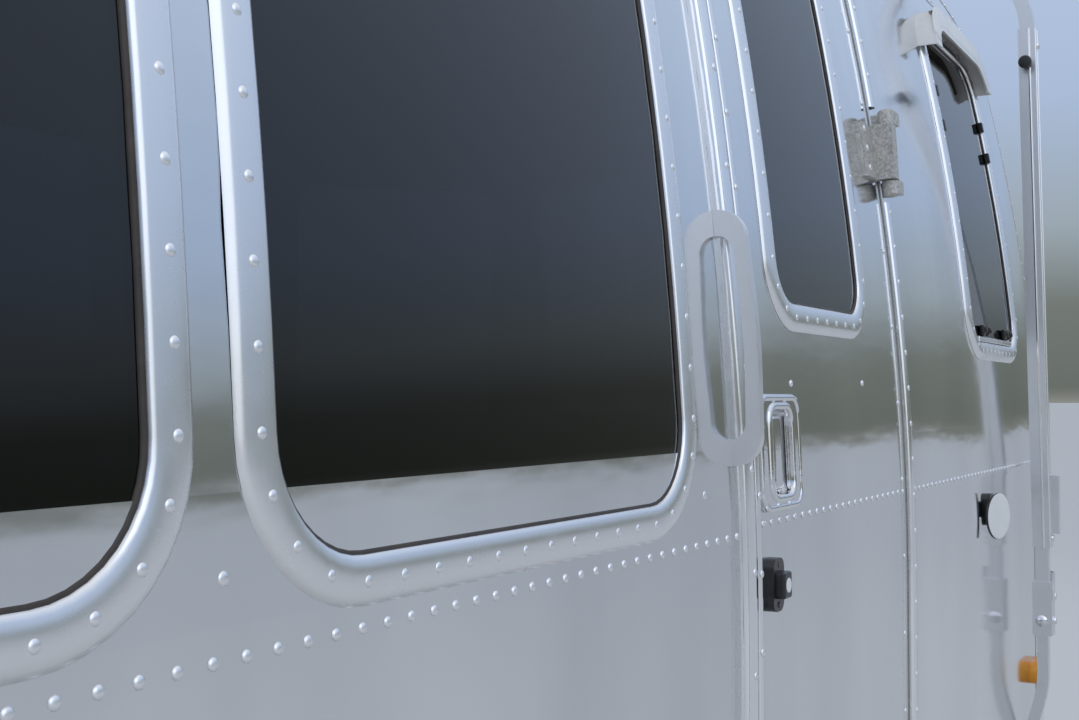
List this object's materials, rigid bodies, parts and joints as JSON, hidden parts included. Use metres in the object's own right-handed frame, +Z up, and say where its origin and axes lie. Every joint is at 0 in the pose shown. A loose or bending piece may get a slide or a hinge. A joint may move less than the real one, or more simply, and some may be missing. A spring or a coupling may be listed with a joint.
{
  "type": "travel caravan",
  "caption": "Rounded riveted aluminium travel caravan on tandem axles, with hinged entry door, wrap-round windows, rolled awning, hatches, hitch frame and tongue jack.",
  "frame": {"origin": "on the ground below the middle of the whole vehicle", "axes": "+X forward to the hitch, +Y to the street side, +Z up; the door is on the -Y side"},
  "size_m": [8.56, 2.604, 2.9585],
  "materials": {
    "skin": "bright mirror-like sheet",
    "trim": "satin riveted mouldings and frames",
    "hood": "pale moulded hood",
    "glass": "dark tinted",
    "casting": "weathered cast",
    "chrome": "polished",
    "black_plastic": "moulded, slightly glossy",
    "white_plastic": "moulded, weathered",
    "red_lens": "clear red",
    "amber_lens": "clear amber",
    "chassis_paint": "satin black",
    "zinc": "zinc plated",
    "rim": "silver",
    "tyre": "rubber",
    "floor": "plywood"
  },
  "bodies": {
    "caravan": {"side_left_lower": "skin", "side_left_upper": "skin", "side_right_lower": "skin", "side_right_upper": "skin", "front_lower": "skin", "front_dome": "skin", "rear_lower": "skin", "rear_dome": "skin", "roof": "skin", "belly_pan": "skin", "gas_bottle_cover": "skin", "window_frames": "trim", "door_surround": "trim", "grab_handle": "trim", "awning_arms": "trim", "awning_roller": "trim", "rub_rails": "trim", "vent_frame": "trim", "hatch_hinges": "trim", "window_hood": "hood", "window_glass": "glass", "door_hinge_brackets": "casting", "tail_lamp_bezels": "chrome", "rear_bumper": "chrome", "wall_catch": "black_plastic", "air_conditioner": "white_plastic", "lamp_lenses_red": "red_lens", "lamp_lenses_amber": "amber_lens", "chassis_frame": "chassis_paint", "axle_front": "chassis_paint", "axle_rear": "chassis_paint", "underframe_brackets": "chassis_paint", "coupler": "chassis_paint", "wheel_wells": "chassis_paint", "jack_post": "zinc", "floor": "floor", "furniture": "floor"},
    "door": {"door_panel": "skin", "door_window_frame": "trim", "door_glass": "glass", "door_lock": "chrome", "door_hinge_leaves": "casting", "door_catch": "black_plastic"},
    "rear_lid": {"rear_hatch": "skin"},
    "locker_lid": {"side_hatch": "skin"},
    "roof_vent_lid": {"vent_lid": "white_plastic"},
    "step": {"entry_step": "zinc"},
    "tongue_leg": {"jack_leg": "zinc"},
    "wheel_front_left": {"rim_front_left": "rim", "tyre_front_left": "tyre"},
    "leg_front_left": {"steady_front_left": "zinc"},
    "wheel_front_right": {"rim_front_right": "rim", "tyre_front_right": "tyre"},
    "leg_front_right": {"steady_front_right": "zinc"},
    "wheel_rear_left": {"rim_rear_left": "rim", "tyre_rear_left": "tyre"},
    "leg_rear_left": {"steady_rear_left": "zinc"},
    "wheel_rear_right": {"rim_rear_right": "rim", "tyre_rear_right": "tyre"},
    "leg_rear_right": {"steady_rear_right": "zinc"}
  },
  "joints": [
    {"name": "wheel_front_left_spin", "type": "hinge", "parent": "caravan", "child": "wheel_front_left", "pos_m": [-0.425, 1.139, 0.359], "axis": [0, 1, 0], "continuous": true},
    {"name": "wheel_front_right_spin", "type": "hinge", "parent": "caravan", "child": "wheel_front_right", "pos_m": [-0.425, -1.071, 0.359], "axis": [0, 1, 0], "continuous": true},
    {"name": "wheel_rear_left_spin", "type": "hinge", "parent": "caravan", "child": "wheel_rear_left", "pos_m": [-1.275, 1.139, 0.359], "axis": [0, 1, 0], "continuous": true},
    {"name": "wheel_rear_right_spin", "type": "hinge", "parent": "caravan", "child": "wheel_rear_right", "pos_m": [-1.275, -1.071, 0.359], "axis": [0, 1, 0], "continuous": true},
    {"name": "door_swing", "type": "hinge", "parent": "caravan", "child": "door", "pos_m": [1.037, -1.251, 0.91], "axis": [0, 0.0605, 0.9982], "range_deg": [0, 175]},
    {"name": "rear_lid_lift", "type": "hinge", "parent": "caravan", "child": "rear_lid", "pos_m": [-4.042, 0.034, 1.233], "axis": [0, 1, 0], "range_deg": [0, 95]},
    {"name": "locker_lid_lift", "type": "hinge", "parent": "caravan", "child": "locker_lid", "pos_m": [1.325, 1.29, 1.013], "axis": [1, 0, 0], "range_deg": [0, 95]},
    {"name": "vent_lid_tilt", "type": "hinge", "parent": "caravan", "child": "roof_vent_lid", "pos_m": [-2.428, 0.034, 2.76553], "axis": [0, -1, 0], "range_deg": [0, 60]},
    {"name": "step_slide", "type": "slide", "parent": "caravan", "child": "step", "axis": [0, -1, 0], "range_m": [0, 0.28]},
    {"name": "tongue_jack", "type": "slide", "parent": "caravan", "child": "tongue_leg", "axis": [0, 0, 1], "range_m": [0, 0.28]},
    {"name": "steady_front_left_drop", "type": "hinge", "parent": "caravan", "child": "leg_front_left", "pos_m": [2.15, 0.734, 0.356], "axis": [0, -1, 0], "range_deg": [0, 50]},
    {"name": "steady_front_right_drop", "type": "hinge", "parent": "caravan", "child": "leg_front_right", "pos_m": [2.15, -0.666, 0.356], "axis": [0, -1, 0], "range_deg": [0, 50]},
    {"name": "steady_rear_left_drop", "type": "hinge", "parent": "caravan", "child": "leg_rear_left", "pos_m": [-3.45, 0.734, 0.356], "axis": [0, 1, 0], "range_deg": [0, 50]},
    {"name": "steady_rear_right_drop", "type": "hinge", "parent": "caravan", "child": "leg_rear_right", "pos_m": [-3.45, -0.666, 0.356], "axis": [0, 1, 0], "range_deg": [0, 50]}
  ]
}
